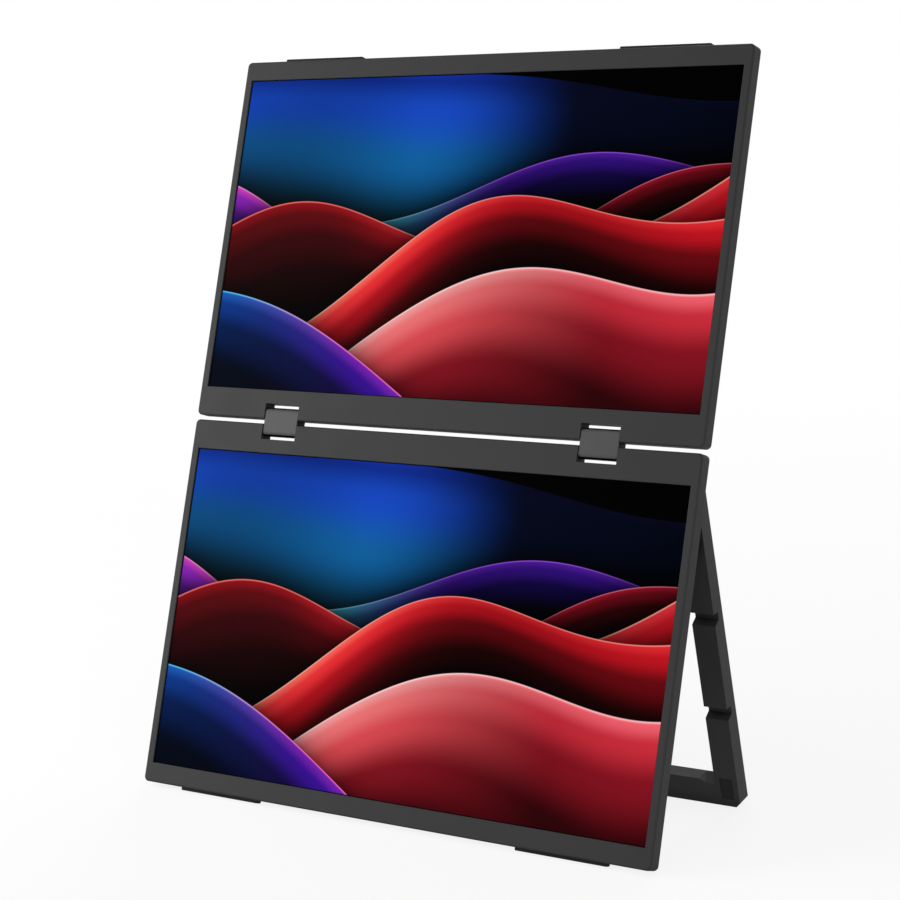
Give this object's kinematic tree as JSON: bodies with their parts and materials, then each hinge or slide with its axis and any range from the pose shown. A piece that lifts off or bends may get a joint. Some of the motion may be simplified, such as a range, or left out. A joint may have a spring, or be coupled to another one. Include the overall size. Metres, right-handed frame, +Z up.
{
  "type": "dual portable monitor",
  "caption": "Slim dark grey portable monitor with stacked screens joined by double-axis hinges, leaning back on a folding U-shaped stand.",
  "frame": {"origin": "on the surface it stands on, under the middle of the whole object's box", "axes": "+X to the viewer's right across the screens, +Y to the back (the screens face -Y and lean back), +Z up"},
  "size_m": [0.3556, 0.1806, 0.4217],
  "materials": {
    "bezel_plastic": "satin moulded",
    "cover_plastic": "fine spark texture",
    "screen_glass": "glossy",
    "light_guide": "translucent white",
    "tray_sheet": "rolled sheet",
    "circuit_board": "solder mask",
    "socket_metal": "plated",
    "flat_ribbon": "polyimide film",
    "button_plastic": "satin moulded",
    "black_rubber": "matt",
    "stand_plastic": "satin moulded",
    "bush_plastic": "natural",
    "sleeve_bronze": "oiled",
    "hinge_paint": "satin paint",
    "hinge_cap_plastic": "satin moulded",
    "speaker_plastic": "moulded",
    "black_screw": "black oxide",
    "plain_steel": "stamped"
  },
  "bodies": {
    "lower_monitor": {"lower_front_bezel": "bezel_plastic", "lower_rear_cover": "cover_plastic", "lower_lcd_cell": "screen_glass", "lower_backlight": "light_guide", "lower_panel_tray": "tray_sheet", "lower_main_board": "circuit_board", "lower_board_screws": "black_screw", "lower_usb_c_sockets": "socket_metal", "lower_mini_hdmi_socket": "socket_metal", "lower_panel_ribbon": "flat_ribbon", "lower_button_board": "circuit_board", "lower_hinge_bracket_left": "plain_steel", "lower_hinge_bracket_right": "plain_steel", "lower_bracket_screws": "black_screw", "lower_hinge_shafts": "plain_steel", "lower_hinge_nuts": "plain_steel", "lower_cover_screws": "black_screw", "lower_edge_pads": "black_rubber", "speaker_left": "speaker_plastic", "stand_pin_left": "plain_steel", "speaker_right": "speaker_plastic", "stand_pin_right": "plain_steel"},
    "upper_monitor": {"upper_front_bezel": "bezel_plastic", "upper_rear_cover": "cover_plastic", "upper_lcd_cell": "screen_glass", "upper_backlight": "light_guide", "upper_panel_tray": "tray_sheet", "upper_main_board": "circuit_board", "upper_board_screws": "black_screw", "upper_usb_c_sockets": "socket_metal", "upper_mini_hdmi_socket": "socket_metal", "upper_panel_ribbon": "flat_ribbon", "upper_button_board": "circuit_board", "upper_hinge_bracket_left": "plain_steel", "upper_hinge_bracket_right": "plain_steel", "upper_bracket_screws": "black_screw", "upper_hinge_shafts": "plain_steel", "upper_hinge_nuts": "plain_steel", "upper_cover_screws": "black_screw", "upper_edge_pads": "black_rubber"},
    "hinge_link": {"hinge_block_left": "hinge_paint", "hinge_cap_left": "hinge_cap_plastic", "hinge_block_right": "hinge_paint", "hinge_cap_right": "hinge_cap_plastic", "friction_sleeves": "sleeve_bronze"},
    "stand": {"stand_frame": "stand_plastic", "stand_corner_pads": "black_rubber", "stand_bushes": "bush_plastic"},
    "lower_power_button_key": {"lower_power_button": "button_plastic"},
    "lower_menu_button_key": {"lower_menu_button": "button_plastic"},
    "upper_power_button_key": {"upper_power_button": "button_plastic"},
    "upper_menu_button_key": {"upper_menu_button": "button_plastic"}
  },
  "joints": [
    {"name": "lower_hinge_axis", "type": "hinge", "parent": "lower_monitor", "child": "hinge_link", "pos_m": [0, -0.00224, 0.20525], "axis": [1, 0, 0], "range_deg": [-67.5, 90]},
    {"name": "upper_hinge_axis", "type": "hinge", "parent": "hinge_link", "child": "upper_monitor", "pos_m": [0, 0.00224, 0.21606], "axis": [1, 0, 0], "range_deg": [-67.5, 90]},
    {"name": "stand_fold", "type": "hinge", "parent": "lower_monitor", "child": "stand", "pos_m": [0, -0.00712, 0.17182], "axis": [1, 0, 0], "range_deg": [-30.6, 0]},
    {"name": "lower_power_button_press", "type": "slide", "parent": "lower_monitor", "child": "lower_power_button_key", "axis": [1, 0, 0], "range_m": [0, 0.0004], "stiffness_N_per_m": 800, "springref_m": -0.0005},
    {"name": "lower_menu_button_press", "type": "slide", "parent": "lower_monitor", "child": "lower_menu_button_key", "axis": [1, 0, 0], "range_m": [0, 0.0004], "stiffness_N_per_m": 800, "springref_m": -0.0005},
    {"name": "upper_power_button_press", "type": "slide", "parent": "upper_monitor", "child": "upper_power_button_key", "axis": [1, 0, 0], "range_m": [0, 0.0004], "stiffness_N_per_m": 800, "springref_m": -0.0005},
    {"name": "upper_menu_button_press", "type": "slide", "parent": "upper_monitor", "child": "upper_menu_button_key", "axis": [1, 0, 0], "range_m": [0, 0.0004], "stiffness_N_per_m": 800, "springref_m": -0.0005}
  ]
}
